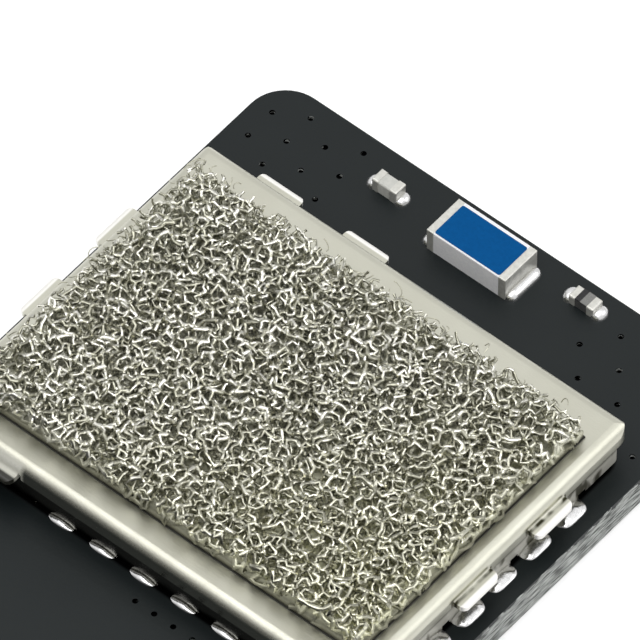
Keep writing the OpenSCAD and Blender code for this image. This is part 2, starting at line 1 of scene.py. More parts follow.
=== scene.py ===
# %% [markdown]
# # A shielded wireless circuit module
#
# The object is a small black circuit board. A chip antenna and two tiny chip parts sit at its
# back edge, a folded metal can covers its middle, and a pad of open-cell metal foam is stuck on
# the can's lid. This lesson dresses the solid model in Blender: each step says what a piece is
# on the real object, how it could be made, and why it is made this way here.

# %% Load the solid model
import json
import math
import random
from itertools import product

import bmesh
import bpy
from mathutils import Matrix, Vector


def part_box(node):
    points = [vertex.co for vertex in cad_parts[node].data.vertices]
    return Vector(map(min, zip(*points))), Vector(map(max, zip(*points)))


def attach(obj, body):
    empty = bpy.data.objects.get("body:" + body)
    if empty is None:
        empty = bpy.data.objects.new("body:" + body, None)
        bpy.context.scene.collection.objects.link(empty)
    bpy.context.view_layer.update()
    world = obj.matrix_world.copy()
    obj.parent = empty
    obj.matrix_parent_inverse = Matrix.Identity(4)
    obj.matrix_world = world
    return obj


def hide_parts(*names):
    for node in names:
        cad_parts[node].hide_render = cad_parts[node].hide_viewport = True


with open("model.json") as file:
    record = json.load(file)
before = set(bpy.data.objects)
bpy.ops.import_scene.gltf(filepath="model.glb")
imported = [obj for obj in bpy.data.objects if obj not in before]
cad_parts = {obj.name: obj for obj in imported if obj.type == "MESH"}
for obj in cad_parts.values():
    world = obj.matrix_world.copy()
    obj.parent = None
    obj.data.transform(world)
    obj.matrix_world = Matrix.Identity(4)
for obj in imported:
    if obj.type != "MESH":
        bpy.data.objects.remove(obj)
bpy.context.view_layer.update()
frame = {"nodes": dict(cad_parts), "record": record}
MM = 0.001

# %% [markdown]
# ## Camera
#
# The photograph was taken with a long lens from the right front and above, so parallel edges
# stay nearly parallel. A camera could be placed by eye, but the board's straight edges give
# the two angles and the scale, so here it is worked out from them: the picture's middle looks
# at one point of the board's upper face, and the distance follows from the scale.

# %% Place the camera
IMAGE_PIXELS = 640
FOCAL_PIXELS = 20000
PIXELS_PER_MM = 32
VIEW_AZIMUTH = math.radians(40)
VIEW_ELEVATION = math.radians(52.8)
AIM_FROM_LEFT = 7.18 * MM
AIM_FROM_BACK = 6.60 * MM
NEAREST, FARTHEST = 10 * MM, 10

board_low, board_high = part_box("circuit_board")
aim = Vector((board_low.x + AIM_FROM_LEFT, board_high.y - AIM_FROM_BACK, board_high.z))
to_camera = Vector((math.sin(VIEW_AZIMUTH) * math.cos(VIEW_ELEVATION),
                    -math.cos(VIEW_AZIMUTH) * math.cos(VIEW_ELEVATION),
                    math.sin(VIEW_ELEVATION)))
camera_data = bpy.data.cameras.new("camera")
camera_data.lens = camera_data.sensor_width * FOCAL_PIXELS / IMAGE_PIXELS
camera_data.clip_start = NEAREST
camera_data.clip_end = FARTHEST
camera = bpy.data.objects.new("camera", camera_data)
camera.location = aim + to_camera * (FOCAL_PIXELS / PIXELS_PER_MM * MM)
camera.rotation_euler = (-to_camera).to_track_quat("-Z", "Y").to_euler()
bpy.context.scene.collection.objects.link(camera)
bpy.context.scene.camera = camera
bpy.context.scene.view_settings.view_transform = "Standard"
print("lens in mm:", round(camera_data.lens, 1))

# %% [markdown]
# ## Node helpers
#
# Materials, light and Geometry Nodes are all trees of nodes. One helper adds a node, sets its
# options and fills its inputs, either with a value or with a link from another node. The others
# add the nodes that turn up in every tree: sums, vectors, and a range stretched to a new one.

# %% Helpers that add nodes
def add(tree, kind, inputs=None, **settings):
    """Add a node; an input is a plain value or another node's output."""
    node = tree.nodes.new(kind)
    for key, value in settings.items():
        setattr(node, key, value)
    for key, value in (inputs or {}).items():
        if isinstance(value, bpy.types.NodeSocket):
            tree.links.new(value, node.inputs[key])
        else:
            node.inputs[key].default_value = value
    return node


def math_node(tree, operation, *values):
    """Result of one sum."""
    return add(tree, "ShaderNodeMath", dict(enumerate(values)), operation=operation).outputs[0]


def times(tree, value, *others):
    """Product of several values."""
    for other in others:
        value = math_node(tree, "MULTIPLY", value, other)
    return value


def vector_math(tree, operation, *vectors, **named):
    """Result of one sum of vectors."""
    inputs = {**dict(enumerate(vectors)), **named}
    node = add(tree, "ShaderNodeVectorMath", inputs, operation=operation)
    return node.outputs["Value" if operation in ("DOT_PRODUCT", "LENGTH") else "Vector"]


def parts(tree, vector):
    """X, Y and Z of a vector."""
    return add(tree, "ShaderNodeSeparateXYZ", {0: vector}).outputs


def joined(tree, x=0.0, y=0.0, z=0.0):
    """Vector from its X, Y and Z."""
    return add(tree, "ShaderNodeCombineXYZ", {0: x, 1: y, 2: z}).outputs[0]


def spread(tree, value, low, high, from_low=0.3, from_high=0.7):
    """Stretch a range to a new one; the range that is left out is the usual one of a noise."""
    return add(tree, "ShaderNodeMapRange", {"Value": value, "From Min": from_low, "From Max": from_high,
                                            "To Min": low, "To Max": high}).outputs[0]


# %% [markdown]
# ## Light from the paper
#
# Small products are photographed in front of white paper, with soft lamps around them. The
# paper is the world. Metal shows what it mirrors, so the world is white for the camera and
# bright for reflections, falls off towards the dim room on the camera's side, and is dimmer
# for the light that reaches matt surfaces.

# %% Build the paper surround
PAPER_LIGHT = 0.55
ROOM_LIGHT = 0.12
LOW_LIGHT = 0.92
ROOM_SIDE = (0, -1, 0)
ROOM_FADE = (0.5, 0.93)
HEIGHT_FADE = (0.1, 0.75)


def ray_kinds(tree, *kinds):
    """1 for rays of the named kinds, 0 for the rest."""
    path = add(tree, "ShaderNodeLightPath")
    shown = path.outputs[kinds[0]]
    for kind in kinds[1:]:
        shown = math_node(tree, "MAXIMUM", shown, path.outputs[kind])
    return shown


world = bpy.data.worlds.new("paper_surround")
world.use_nodes = True
bpy.context.scene.world = world
tree = world.node_tree
direction = add(tree, "ShaderNodeTexCoord").outputs["Generated"]
towards_room = vector_math(tree, "DOT_PRODUCT", direction, ROOM_SIDE)
by_height = spread(tree, parts(tree, direction)["Z"], LOW_LIGHT, 1.0, *HEIGHT_FADE)
mirrored = spread(tree, towards_room, by_height, ROOM_LIGHT, *ROOM_FADE)
unlit = spread(tree, ray_kinds(tree, "Is Glossy Ray"), PAPER_LIGHT, mirrored, 0, 1)
glow = spread(tree, ray_kinds(tree, "Is Camera Ray", "Is Transmission Ray"), unlit, 1.0, 0, 1)
background = tree.nodes["Background"]
tree.links.new(glow, background.inputs["Strength"])
background.inputs["Color"].default_value = (1, 1, 1, 1)
print("metal mirrors from", ROOM_LIGHT, "by the camera to 1 at the back")

# %% [markdown]
# ## Lamps and floor
#
# Two square area lamps stand for the soft lamps of a studio: one overhead, and one behind on the
# right, which draws the light line along the lid's right bend. The floor is a sheet of paper a
# hair below the board, so that the two faces don't share one place. It is lifted to white for
# the camera and keeps the object's shadow. In front of the object, reflections see the dim room
# instead of the paper, so that the can's front wall mirrors dark.

# %% Set up the lamps
OVERHEAD_PLACE, OVERHEAD_WIDTH, OVERHEAD_RADIANCE = Vector((0.01, -0.03, 0.16)), 0.17, 1.9
RIGHT_BACK_PLACE, RIGHT_BACK_WIDTH, RIGHT_BACK_RADIANCE = Vector((0.16, 0.14, 0.14)), 0.14, 1.35


def softbox(name, centre, width, radiance):
    """Square area lamp that faces the object; a radiance of 1 looks white."""
    data = bpy.data.lights.new(name, "AREA")
    data.size = width
    data.energy = radiance * math.pi * width * width
    lamp = bpy.data.objects.new(name, data)
    lamp.location = centre
    lamp.rotation_euler = (-centre).to_track_quat("-Z", "Y").to_euler()
    bpy.context.scene.collection.objects.link(lamp)


softbox("overhead_softbox", OVERHEAD_PLACE, OVERHEAD_WIDTH, OVERHEAD_RADIANCE)
softbox("right_back_softbox", RIGHT_BACK_PLACE, RIGHT_BACK_WIDTH, RIGHT_BACK_RADIANCE)

# %% Lay the floor
FLOOR_HALF = 0.6
FLOOR_GAP = 0.02 * MM
FLOOR_LIFT = 0.3
FLOOR_COLOUR = (0.86, 0.86, 0.86, 1)
FLOOR_ROUGHNESS = 0.9
FRONT_FADE = (-0.02, -0.012)

floor_mesh = bpy.data.meshes.new("floor")
floor_corners = [(x * FLOOR_HALF, y * FLOOR_HALF, -FLOOR_GAP)
                 for x, y in ((-1, -1), (1, -1), (1, 1), (-1, 1))]
floor_mesh.from_pydata(floor_corners, [], [(0, 1, 2, 3)])
floor = bpy.data.objects.new("floor", floor_mesh)
bpy.context.scene.collection.objects.link(floor)
floor_paper = bpy.data.materials.new("floor_paper")
floor_paper.use_nodes = True
tree = floor_paper.node_tree
matt_paper = tree.nodes["Principled BSDF"]
matt_paper.inputs["Base Color"].default_value = FLOOR_COLOUR
matt_paper.inputs["Roughness"].default_value = FLOOR_ROUGHNESS
seen = ray_kinds(tree, "Is Camera Ray", "Is Glossy Ray", "Is Transmission Ray")
lift = add(tree, "ShaderNodeEmission", {"Strength": times(tree, FLOOR_LIFT, seen)})
white_paper = add(tree, "ShaderNodeAddShader", {0: matt_paper.outputs[0], 1: lift.outputs[0]})
to_back = parts(tree, add(tree, "ShaderNodeTexCoord").outputs["Object"])["Y"]
in_front = spread(tree, to_back, 1.0, 0.0, *FRONT_FADE)
dim_room = add(tree, "ShaderNodeEmission", {"Strength": ROOM_LIGHT})
paper_mix = add(tree, "ShaderNodeMixShader", {
    0: times(tree, in_front, ray_kinds(tree, "Is Glossy Ray")),
    1: white_paper.outputs[0], 2: dim_room.outputs[0]})
tree.links.new(paper_mix.outputs[0], tree.nodes["Material Output"].inputs["Surface"])
floor_mesh.materials.append(floor_paper)
print("floor:", 2 * FLOOR_HALF, "m wide")

# %% [markdown]
# ## Material helpers
#
# Every finish starts from the Principled shader. Its patterns read Object coordinates, which
# stay with the piece, turned into millimetres so that a noise scale of 10 means ten bumps in a
# millimetre. A bump node turns a pattern into small dents without moving the surface.

# %% Helpers for finishes
def start_material(name, colour, metallic=0.0, roughness=0.5):
    """New material with its shader set to one colour, and its millimetre coordinates."""
    material = bpy.data.materials.new(name)
    material.use_nodes = True
    tree = material.node_tree
    shader = tree.nodes["Principled BSDF"]
    shader.inputs["Base Color"].default_value = (*colour, 1)
    shader.inputs["Metallic"].default_value = metallic
    shader.inputs["Roughness"].default_value = roughness
    place = add(tree, "ShaderNodeTexCoord").outputs["Object"]
    return material, tree, shader, vector_math(tree, "SCALE", place, Scale=1 / MM)


def facing_of(tree):
    """X, Y and Z of the direction that the surface faces."""
    return parts(tree, add(tree, "ShaderNodeNewGeometry").outputs["Normal"])


def noise(tree, place, scale, detail=2.0, stretch=(1, 1, 1)):
    """Soft random pattern between 0 and 1."""
    if stretch != (1, 1, 1):
        place = vector_math(tree, "MULTIPLY", place, stretch)
    return add(tree, "ShaderNodeTexNoise", {"Vector": place, "Scale": scale, "Detail": detail}).outputs[0]


def blend(tree, share, first, second):
    """Mix of two colours; each is a colour or another node's output."""
    mix = add(tree, "ShaderNodeMix", {0: share}, data_type="RGBA")
    for socket, colour in ((mix.inputs[6], first), (mix.inputs[7], second)):
        if isinstance(colour, bpy.types.NodeSocket):
            tree.links.new(colour, socket)
        else:
            socket.default_value = (*colour, 1)
    return mix.outputs[2]


def dent(tree, shader, height, depth, under=None):
    """Bump of a given depth in millimetres."""
    bump = add(tree, "ShaderNodeBump", {"Height": height, "Strength": 1.0, "Distance": depth * MM})
    if under is not None:
        tree.links.new(under, bump.inputs["Normal"])
    tree.links.new(bump.outputs[0], shader.inputs["Normal"])
    return bump.outputs[0]


def dress(node, material):
    """Give a solid its finish."""
    frame["nodes"][node].data.materials[0] = material


# %% [markdown]
# ## Circuit board
#
# The board is glass-fibre sheet under a black lacquer, with shallow dimples over its closed
# vias. The solid already has the right form, so it only needs a finish. The lacquer covers the
# upper face and the raw cut shows along the sides: grey, streaked by the layers of glass, with
# a ragged upper edge. One material holds both and tells them apart by the direction that the
# surface faces. The dimples and a thin line along the can's foot, where no light comes, get
# painted shade: they are made black by their place.

# %% Find the places on the board
SIDE_FACING = (0.3, 0.5)
PALE_LINE_Y = -5.9
PALE_LINE_FADE = (-0.02, 0.02)
DIMPLE_RIM_Z = board_high.z / MM - 0.01
SIDE_X = board_high.x / MM - 0.1
SIDE_Y = board_high.y / MM - 0.1
CAN_CORNER = 0.7
FOOT_FADE = (0.08, 0.2)
RAGGED_DEPTH = 0.9
RAGGED_Z = board_high.z / MM + 0.36
RAGGED_FADE = 0.01
MASK_COLOUR = (0.0042, 0.0072, 0.0078)
MASK_ROUGHNESS = 0.42
frame_low, frame_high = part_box("shield_frame")
can_half = (frame_high - frame_low) / (2 * MM)
can_middle = (frame_low + frame_high) / (2 * MM)

board_finish, tree, shader, place = start_material("black_board", MASK_COLOUR, 0, MASK_ROUGHNESS)
spot = parts(tree, place)
from_middle_x = math_node(tree, "ABSOLUTE", spot["X"])
from_can_y = math_node(tree, "ABSOLUTE", math_node(tree, "SUBTRACT", spot["Y"], can_middle.y))
on_side = spread(tree, math_node(tree, "ABSOLUTE", facing_of(tree)["Z"]), 1, 0, *SIDE_FACING)
# The lacquer is paler in front of a line along the can's front, and darker between the line and the can.
front_of_line = spread(tree, math_node(tree, "SUBTRACT", spot["Y"], PALE_LINE_Y), 1, 0, *PALE_LINE_FADE)
# Painted shade: the floor of each dimple is made black.
in_dimple = times(tree, math_node(tree, "LESS_THAN", spot["Z"], DIMPLE_RIM_Z),
                  math_node(tree, "LESS_THAN", from_middle_x, SIDE_X),
                  math_node(tree, "LESS_THAN", math_node(tree, "ABSOLUTE", spot["Y"]), SIDE_Y))
past_can = [math_node(tree, "MAXIMUM", math_node(tree, "SUBTRACT", distance, reach - CAN_CORNER), 0.0)
            for distance, reach in ((from_middle_x, can_half.x), (from_can_y, can_half.y))]
from_can = vector_math(tree, "LENGTH", joined(tree, *past_can))
# Painted shade: a strip round the can's foot is made black and loses its gloss.
foot_shade = spread(tree, math_node(tree, "SUBTRACT", from_can, CAN_CORNER), 1, 0, *FOOT_FADE)
upper = math_node(tree, "GREATER_THAN", spot["Z"], board_high.z / MM / 2)
black = times(tree, math_node(tree, "MAXIMUM", in_dimple, foot_shade), upper)
ragged_top = math_node(tree, "MULTIPLY_ADD", noise(tree, place, scale=2.6, detail=6), RAGGED_DEPTH, spot["Z"])
bare = times(tree, on_side, spread(tree, ragged_top, 1, 0, RAGGED_Z, RAGGED_Z + RAGGED_FADE))
print("can's half size in mm:", [round(s, 2) for s in can_half])

# %% Finish the board
MASK_PALE = (0.008, 0.0115, 0.012)
PALE_SHARE = 0.35
MASK_SPECULAR = 0.26
BLACK = (0.001, 0.001, 0.001)
CUT_DARK = (0.11, 0.117, 0.11)
CUT_PALE = (0.56, 0.58, 0.56)
CUT_ROUGHNESS = 0.9
STREAK_RANGE = (0.38, 0.6)

clouds = spread(tree, noise(tree, place, scale=0.35, detail=3), 0, PALE_SHARE)
mask_share = math_node(tree, "MULTIPLY_ADD", front_of_line, PALE_SHARE, clouds)
mask_colour = blend(tree, black, blend(tree, mask_share, MASK_COLOUR, MASK_PALE), BLACK)
streaks = noise(tree, place, scale=1.0, detail=5, stretch=(1.6, 1.6, 14))
fibres = noise(tree, place, scale=3.0, detail=4, stretch=(0.9, 0.9, 5))
cut_colour = blend(tree, spread(tree, streaks, 0, 1, *STREAK_RANGE), CUT_DARK, CUT_PALE)
tree.links.new(blend(tree, bare, mask_colour, cut_colour), shader.inputs["Base Color"])
matt = math_node(tree, "MAXIMUM", bare, black)
tree.links.new(spread(tree, matt, MASK_ROUGHNESS, CUT_ROUGHNESS, 0, 1), shader.inputs["Roughness"])
tree.links.new(spread(tree, black, MASK_SPECULAR, 0, 0, 1), shader.inputs["Specular IOR Level"])
peel = times(tree, noise(tree, place, scale=9, detail=2), 0.25)
rough_cut = times(tree, math_node(tree, "ADD", streaks, fibres), bare)
dent(tree, shader, math_node(tree, "MULTIPLY_ADD", rough_cut, 6.0, peel), depth=0.012)
dress("circuit_board", board_finish)
print("board finish:", board_finish.name)

# %% [markdown]
# ## Folded sheet of the can
#
# The frame and the lid are thin nickel-silver sheet. The lid's upper face is satin, its front and
# back walls are smooth and mirror the board, and its side walls are duller. Metal has no colour
# besides its tint, so the finish is mostly roughness: a fine grain, faint clouds, a few scratches.
# The tabs need more: painted shade in the groove at the root of the right-hand ones, a painted
# highlight on their sheared lip, and on the front tab a pale matt face whose outer edge is painted
# dark as shade. All are placed by their distance outside the lid's wall, which needs no image mask.

# %% Finish of sheet metal
def sheet_metal(name, tint, dull, top_roughness, side_roughness, end_roughness, wave_depth):
    """Sheet that is satin where it faces up, duller on its side walls and smooth on the others."""
    material, tree, shader, place = start_material(name, tint, 1.0, top_roughness)
    facing = facing_of(tree)
    colour = blend(tree, spread(tree, noise(tree, place, scale=0.5, detail=4), 0, 1), tint, dull)
    sideways = math_node(tree, "ABSOLUTE", facing["X"])
    wall = spread(tree, sideways, end_roughness, side_roughness, 0.3, 0.9)
    plain = spread(tree, facing["Z"], wall, top_roughness, 0.2, 0.95)
    grain = noise(tree, place, scale=14, detail=3)
    rough = math_node(tree, "MULTIPLY_ADD", grain, 0.14, plain)
    scratches = noise(tree, place, scale=5, detail=2, stretch=(0.25, 3, 1))
    waves = dent(tree, shader, noise(tree, place, scale=0.9, detail=1), wave_depth)
    dent(tree, shader, math_node(tree, "MULTIPLY_ADD", scratches, 0.5, grain), depth=0.0035, under=waves)
    tree.links.new(colour, shader.inputs["Base Color"])
    tree.links.new(rough, shader.inputs["Roughness"])
    return material, tree, shader, place, colour, rough


# %% Find the places on the lid
LID_TINT = (0.57, 0.565, 0.485)
LID_TINT_DULL = (0.535, 0.53, 0.45)
LID_OVER_FRAME = 0.23
LIP_DEPTH = 0.1
GROOVE_START, GROOVE_END = (0.01, 0.06), (0.13, 0.2)
GROOVE_SHADE_PATCHES = (0.42, 0.55)
LIP_START = (0.25, 0.3)
FRONT_WALL = (-0.1, 0)
TAB_LEFT, TAB_RIGHT = (-0.3, -0.2), (0.1, 0.3)
FLARE_START = (-0.15, 0.02)

lid_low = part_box("shield_lid")[0]
front_lip_x = [v.co.x / MM for v in frame["nodes"]["shield_lid"].data.vertices
               if v.co.y < lid_low.y + LIP_DEPTH * MM]
tab_from, tab_to = min(front_lip_x), max(front_lip_x)
lid_finish, tree, shader, place, colour, rough = sheet_metal(
    "satin_lid", LID_TINT, LID_TINT_DULL, top_roughness=0.3, side_roughness=0.26, end_roughness=0.12,
    wave_depth=0.02)
spot = parts(tree, place)
from_middle_x = math_node(tree, "ABSOLUTE", spot["X"])
from_middle_y = math_node(tree, "ABSOLUTE", math_node(tree, "SUBTRACT", spot["Y"], can_middle.y))
outside = math_node(tree, "MAXIMUM",
                    math_node(tree, "SUBTRACT", from_middle_x, can_half.x + LID_OVER_FRAME),
                    math_node(tree, "SUBTRACT", from_middle_y, can_half.y + LID_OVER_FRAME))
past_front = math_node(tree, "SUBTRACT", spot["Y"], can_middle.y - can_half.y)
# Painted shade: the groove at the root of the right-hand tabs is darkened in patches.
groove = math_node(tree, "MINIMUM", spread(tree, outside, 0, 1, *GROOVE_START),
                   spread(tree, outside, 1, 0, *GROOVE_END))
shade_patches = spread(tree, noise(tree, place, scale=1.6, detail=1), 0.2, 1, *GROOVE_SHADE_PATCHES)
on_right = spread(tree, spot["X"], 0, 1, 0, 1)
groove = times(tree, groove, shade_patches, on_right)
# Painted highlight: the lip of the tabs gets a bright tint.
lip = times(tree, spread(tree, outside, 0, 1, *LIP_START), spread(tree, past_front, 0, 1, *FRONT_WALL))
flare = times(tree, spread(tree, spot["X"], 0, 1, *(tab_from + s for s in TAB_LEFT)),
              spread(tree, spot["X"], 1, 0, *(tab_to + s for s in TAB_RIGHT)),
              spread(tree, past_front, 1, 0, *FLARE_START))
print("front tab in mm:", round(tab_to - tab_from, 2))

# %% Finish the lid
LIP_HIGHLIGHT_TINT = (0.84, 0.83, 0.8)
LIP_ROUGHER = 0.2
GROOVE_SHADE_TINT = (0.035, 0.034, 0.02)
FLARE_TINT = (0.56, 0.555, 0.49)
FLARE_SHADE = (0.02, 0.02, 0.015)
FLARE_EDGE = (-0.46, -0.38)

colour = blend(tree, lip, blend(tree, groove, colour, GROOVE_SHADE_TINT), LIP_HIGHLIGHT_TINT)
# Painted shade: the front tab's outer edge is darkened.
flare_colour = blend(tree, spread(tree, past_front, 1, 0, *FLARE_EDGE), FLARE_TINT, FLARE_SHADE)
tree.links.new(blend(tree, flare, colour, flare_colour), shader.inputs["Base Color"])
tree.links.new(math_node(tree, "SUBTRACT", 1.0, flare), shader.inputs["Metallic"])
tree.links.new(math_node(tree, "MULTIPLY_ADD", lip, LIP_ROUGHER, rough), shader.inputs["Roughness"])
dress("shield_lid", lid_finish)
print("lid finish:", lid_finish.name)

# %% [markdown]
# ## Frame of the can
#
# The frame stands under the lid's skirt. Its side walls are frosted, with dark patches of painted
# reflection from a noise and painted shade just under the skirt. Its front and back walls mirror
# the dark board and get a near-black tint, a painted dark reflection. The walls are told apart by
# the direction that they face.

# %% Finish the frame
FRAME_TINT = (0.62, 0.61, 0.55)
FRAME_TINT_DULL = (0.48, 0.47, 0.41)
PAINTED_DARK_TINT = (0.16, 0.155, 0.12)
DARK_REFLECTION_TINT = (0.13, 0.128, 0.11)
WALL_FACING = (0.6, 0.9)
DARK_REFLECTION_RANGE = (0.52, 0.6)
SKIRT_SHADE_HEIGHTS = (frame_high.z / MM - 1.14, frame_high.z / MM - 0.96)
FROST, DARKENED_FROST = 0.75, 0.25

frame_finish, tree, shader, place, colour, rough = sheet_metal(
    "bright_frame", FRAME_TINT, FRAME_TINT_DULL, top_roughness=0.25, side_roughness=0.42,
    end_roughness=0.08, wave_depth=0.09)
facing = facing_of(tree)
frosted = spread(tree, math_node(tree, "ABSOLUTE", facing["X"]), 0, 1, *WALL_FACING)
# Painted reflection: the front and back walls get a near-black tint.
mirror_wall = spread(tree, math_node(tree, "ABSOLUTE", facing["Y"]), 0, 1, *WALL_FACING)
# Painted reflection: dark patches from a noise on the side walls.
spots = spread(tree, noise(tree, place, scale=1.5, detail=2, stretch=(1, 1, 0.5)), 0, 1, *DARK_REFLECTION_RANGE)
# Painted shade: the walls are darkened just under the skirt.
skirt_shade = spread(tree, parts(tree, place)["Z"], 0, 1, *SKIRT_SHADE_HEIGHTS)
reflections_and_shade = math_node(tree, "MAXIMUM", spots, skirt_shade)
colour = blend(tree, times(tree, reflections_and_shade, frosted), colour, PAINTED_DARK_TINT)
tree.links.new(blend(tree, mirror_wall, colour, DARK_REFLECTION_TINT), shader.inputs["Base Color"])
frost = times(tree, frosted, spread(tree, reflections_and_shade, FROST, DARKENED_FROST, 0, 1))
tree.links.new(math_node(tree, "SUBTRACT", 1.0, frost), shader.inputs["Metallic"])
dress("shield_frame", frame_finish)
print("frame finish:", frame_finish.name)

# %% [markdown]
# ## Small finishes
#
# Solder is a bright, slightly lumpy metal. Chip parts have white ceramic, tinned ends, a blue
# printed field on the antenna and a black glass coat on the resistor, painted grey on its right
# where light falls on it. The resistor's ceramic is painted near-black, as shade on its front
# side. The pieces under the lid are never seen, but they still get a finish of their own. One
# function makes them all from two colours and a few sizes.

# %% Make the small finishes
BLUE_SPECULAR = 0.05
COAT_BLACK, COAT_LIT_GREY = (0.006, 0.006, 0.007), (0.2, 0.2, 0.19)
COAT_CHANGE = (0.4, 0.45)


def speckled(name, colour, other, metallic, roughness, scale, depth, change=0.1):
    """Finish with fine spots of a second colour, uneven gloss and small dents."""
    material, tree, shader, place = start_material(name, colour, metallic, roughness)
    spots = noise(tree, place, scale, detail=3)
    tree.links.new(blend(tree, spread(tree, spots, 0, 1), colour, other), shader.inputs["Base Color"])
    gloss = noise(tree, place, scale * 0.6, detail=2)
    uneven = spread(tree, gloss, roughness - change / 2, roughness + change)
    tree.links.new(uneven, shader.inputs["Roughness"])
    dent(tree, shader, spots, depth)
    return material


# In each row: two colours, metallic, roughness, spots in a millimetre, depth of the dents
FINISHES = {
    "solder": speckled("bright_solder", (0.76, 0.76, 0.76), (0.66, 0.66, 0.66), 1, 0.2, 5, 0.012),
    "terminal_metal": speckled("tinned_end", (0.7, 0.695, 0.65), (0.58, 0.575, 0.53), 0.55, 0.36, 7, 0.012),
    "ceramic": speckled("white_ceramic", (0.84, 0.84, 0.87), (0.92, 0.92, 0.93), 0, 0.5, 12, 0.004),
    "capacitor_ceramic": speckled("pale_ceramic", (0.52, 0.525, 0.49), (0.6, 0.6, 0.56), 0, 0.4, 8, 0.006),
    "blue_print": speckled("blue_print", (0.001, 0.073, 0.24), (0.0015, 0.083, 0.27), 0, 0.4, 9, 0.002),
    "dark_coat": speckled("dark_coat", (0.008, 0.008, 0.009), (0.014, 0.014, 0.015), 0, 0.25, 9, 0.004),
    "adhesive": speckled("dark_adhesive", (0.012, 0.011, 0.008), (0.02, 0.019, 0.014), 0, 0.6, 6, 0.01),
    "gold_lands": speckled("gold_land", (0.83, 0.62, 0.27), (0.78, 0.56, 0.23), 1, 0.3, 6, 0.003),
    "chip_resin": speckled("moulded_resin", (0.012, 0.012, 0.013), (0.02, 0.02, 0.021), 0, 0.55, 15, 0.006),
    "soft_pad": speckled("soft_pad", (0.26, 0.36, 0.5), (0.22, 0.32, 0.46), 0, 0.75, 5, 0.01),
    "crystal_case": speckled("plated_case", (0.7, 0.69, 0.64), (0.62, 0.61, 0.56), 1, 0.3, 7, 0.003),
    "ferrite": speckled("grey_ferrite", (0.05, 0.05, 0.052), (0.08, 0.08, 0.082), 0, 0.65, 12, 0.008),
}
blue_shader = FINISHES["blue_print"].node_tree.nodes["Principled BSDF"]
blue_shader.inputs["Specular IOR Level"].default_value = BLUE_SPECULAR
for row in frame["record"]["subparts"]:
    if row["material_slot"] in FINISHES:
        dress(row["node"], FINISHES[row["material_slot"]])
# Painted shade: the resistor's ceramic is near-black, for its front side in shade.
dress("resistor_body", speckled("shaded_resistor_ceramic", (0.05, 0.05, 0.05), (0.09, 0.09, 0.09), 0, 0.5, 10, 0.004))
# Painted light: the coat's right part is grey where light falls on it; the left part keeps the coat's own
# black.
coat_low, coat_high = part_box("resistor_coat")
tree = FINISHES["dark_coat"].node_tree
along_coat = parts(tree, add(tree, "ShaderNodeTexCoord").outputs["Object"])["X"]
lit_share = spread(tree, along_coat, 0, 1,
                    *(coat_low.x + s * (coat_high.x - coat_low.x) for s in COAT_CHANGE))
coat_colour = blend(tree, lit_share, COAT_BLACK, COAT_LIT_GREY)
tree.links.new(coat_colour, tree.nodes["Principled BSDF"].inputs["Base Color"])
print("small finishes:", len(FINISHES) + 1)

# %% [markdown]
# ## Melted solder
#
# Each joint was liquid for a moment, so it is a soft pillow with no edge. The solids of the joints
# are blocks and wedges. They could be sculpted round by hand. Instead each copy is turned into
# small voxels, which fuses it into one even skin, and the skin is smoothed a few times. The can's
# joints also narrow towards their ends, each by chance a little more or less. Every copy is filled
# out along its normals and sunk a little into the board, so that no gap shows under its round foot.
# The copy is measured in millimetres meanwhile, because a voxel has a smallest size.

# %% Helpers for melted solder
THINNEST = 0.12


def triangles(obj):
    """Number of triangles of a mesh object."""
    obj.data.calc_loop_triangles()
    return len(obj.data.loop_triangles)


def islands(skin):
    """Groups of joined vertices, in a fixed order."""
    seen = set()
    for first in skin.verts:
        if first in seen:
            continue
        seen.add(first)
        group, front = [], [first]
        while front:
            vert = front.pop()
            group.append(vert)
            for edge in vert.link_edges:
                other = edge.other_vert(vert)
                if other not in seen:
                    seen.add(other)
                    front.append(other)
        yield group


def taper(group, blunt, share):
    """Narrow a joint to its ends, in height and away from the can; blunt keeps it full for longer."""
    low = Vector(min(v.co[k] for v in group) for k in range(3))
    high = Vector(max(v.co[k] for v in group) for k in range(3))
    long, across = (0, 1) if high.x - low.x > high.y - low.y else (1, 0)
    foot = min(low[across], high[across], key=lambda c: abs(c - can_middle[across]))
    for vert in group:
        end = abs(2 * (vert.co[long] - low[long]) / (high[long] - low[long]) - 1)
        scale = share * math.sqrt(max(0.0, 1 - end ** blunt)) + THINNEST
        vert.co[across] = foot + (vert.co[across] - foot) * scale
        vert.co.z = low.z + (vert.co.z - low.z) * scale


# %% Round the solder joints
SOLDER_VOXEL = 0.04
SOLDER_SEED = 4
SAME_POINT = 0.0005 * MM
SMOOTHING = 0.5
JOINT_SHARE = (0.7, 1.0)
END_MARGIN = 0.1
SHIELD_TAPERS = {True: (2, 0.9), False: (5, 0.95)}


